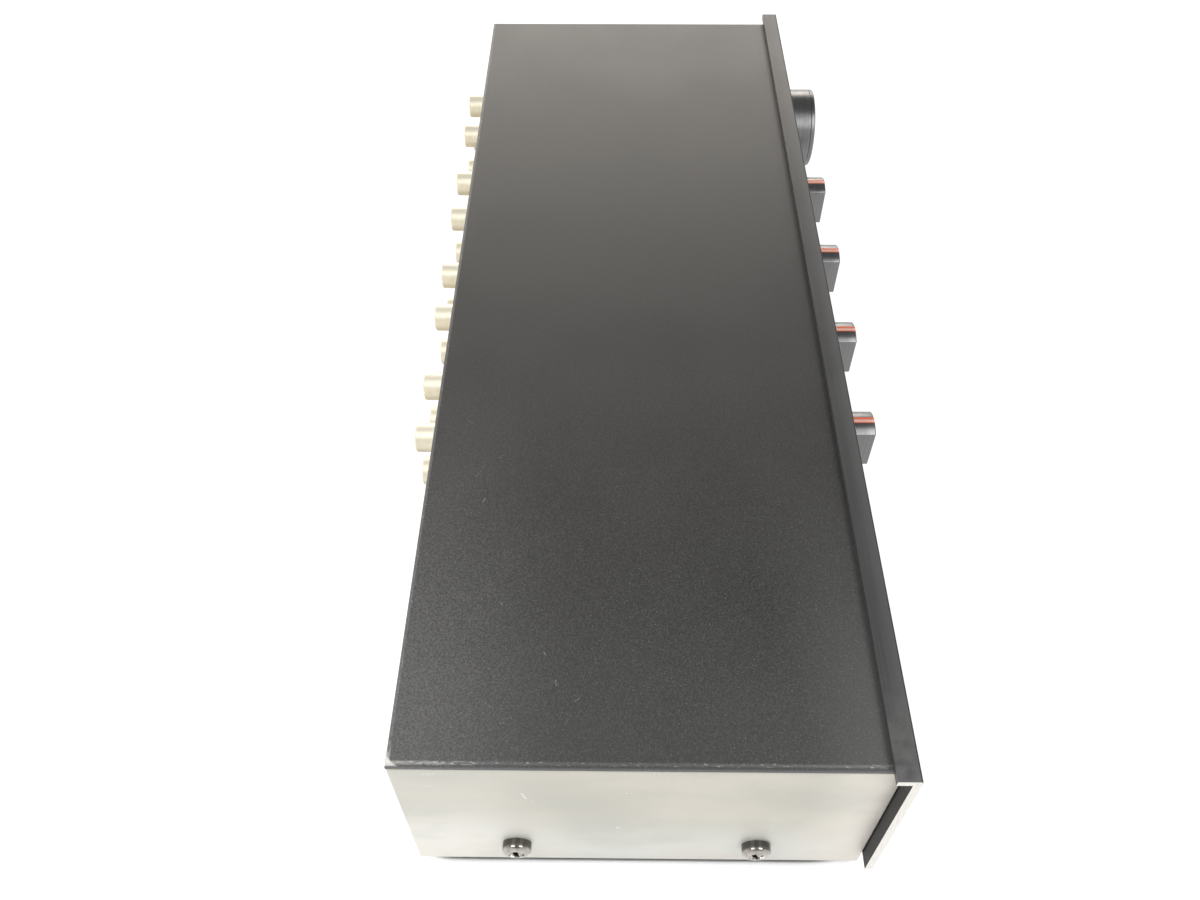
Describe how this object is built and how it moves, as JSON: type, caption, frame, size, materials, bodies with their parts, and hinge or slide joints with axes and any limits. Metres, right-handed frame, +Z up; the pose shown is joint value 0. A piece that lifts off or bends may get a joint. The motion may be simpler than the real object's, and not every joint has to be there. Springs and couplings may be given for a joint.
{
  "type": "tape deck selector",
  "caption": "Low metal audio switch box with bar-knob rotary selectors and a round level knob on the front and phono jacks on the rear.",
  "frame": {"origin": "middle of the object's box at the level of the table under the feet", "axes": "+X to the right seen from the front, +Y to the rear where the jacks are, +Z up"},
  "size_m": [0.3048, 0.1298, 0.0598],
  "materials": {
    "zinc_steel": "zinc-plated sheet",
    "satin_metal": "bare satin metal",
    "black_paint": "fine-textured black paint",
    "black_anodised": "black anodised, bare cut ends",
    "nickel": "nickel-plated",
    "dark_nickel": "dark nickel",
    "rubber": "black rubber",
    "knob_black": "black anodised, turned and milled",
    "pointer_red": "orange-red inlay",
    "laminate": "brown phenolic laminate",
    "ivory_plastic": "ivory moulding",
    "jack_gold": "pale gold plating",
    "jack_insulator": "off-white insulator"
  },
  "bodies": {
    "case": {"chassis": "zinc_steel", "case_sleeve": "satin_metal", "lid": "black_paint", "front_panel": "black_anodised", "panel_studs": "nickel", "side_screws": "dark_nickel", "feet": "rubber", "board_screws": "nickel", "small_nuts": "nickel", "selector_1_bush": "nickel", "selector_1_nut": "nickel", "selector_1_wafer": "laminate", "selector_2_bush": "nickel", "selector_2_nut": "nickel", "selector_2_wafer": "laminate", "selector_3_bush": "nickel", "selector_3_nut": "nickel", "selector_3_wafer": "laminate", "selector_4_bush": "nickel", "selector_4_nut": "nickel", "selector_4_wafer": "laminate", "level_can": "nickel", "level_nut": "nickel", "level_track": "laminate", "jack_board_1": "laminate", "jack_shells_1": "jack_gold", "jack_insulators_1": "jack_insulator", "jack_contacts_1": "jack_gold", "jack_board_2": "laminate", "jack_shells_2": "jack_gold", "jack_insulators_2": "jack_insulator", "jack_contacts_2": "jack_gold", "jack_board_3": "laminate", "jack_shells_3": "jack_gold", "jack_insulators_3": "jack_insulator", "jack_contacts_3": "jack_gold", "jack_board_4": "laminate", "jack_shells_4": "jack_gold", "jack_insulators_4": "jack_insulator", "jack_contacts_4": "jack_gold"},
    "selector_1": {"selector_1_knob": "knob_black", "selector_1_pointer": "pointer_red", "selector_1_shaft": "nickel", "selector_1_rotor": "ivory_plastic"},
    "selector_2": {"selector_2_knob": "knob_black", "selector_2_pointer": "pointer_red", "selector_2_shaft": "nickel", "selector_2_rotor": "ivory_plastic"},
    "selector_3": {"selector_3_knob": "knob_black", "selector_3_pointer": "pointer_red", "selector_3_shaft": "nickel", "selector_3_rotor": "ivory_plastic"},
    "selector_4": {"selector_4_knob": "knob_black", "selector_4_pointer": "pointer_red", "selector_4_shaft": "nickel", "selector_4_rotor": "ivory_plastic"},
    "level": {"level_knob": "knob_black", "level_shaft": "nickel", "level_wiper": "ivory_plastic"}
  },
  "joints": [
    {"name": "selector_1_turn", "type": "hinge", "parent": "case", "child": "selector_1", "pos_m": [-0.0394, -0.05255, 0.0331], "axis": [0, 1, 0], "range_deg": [-60, 60]},
    {"name": "selector_2_turn", "type": "hinge", "parent": "case", "child": "selector_2", "pos_m": [-0.0023, -0.05255, 0.0331], "axis": [0, 1, 0], "range_deg": [-60, 60]},
    {"name": "selector_3_turn", "type": "hinge", "parent": "case", "child": "selector_3", "pos_m": [0.0348, -0.05255, 0.0331], "axis": [0, 1, 0], "range_deg": [-60, 60]},
    {"name": "selector_4_turn", "type": "hinge", "parent": "case", "child": "selector_4", "pos_m": [0.0719, -0.05255, 0.0331], "axis": [0, 1, 0], "range_deg": [-60, 60]},
    {"name": "level_turn", "type": "hinge", "parent": "case", "child": "level", "pos_m": [0.1168, -0.05255, 0.0331], "axis": [0, 1, 0], "range_deg": [-150, 150]}
  ]
}
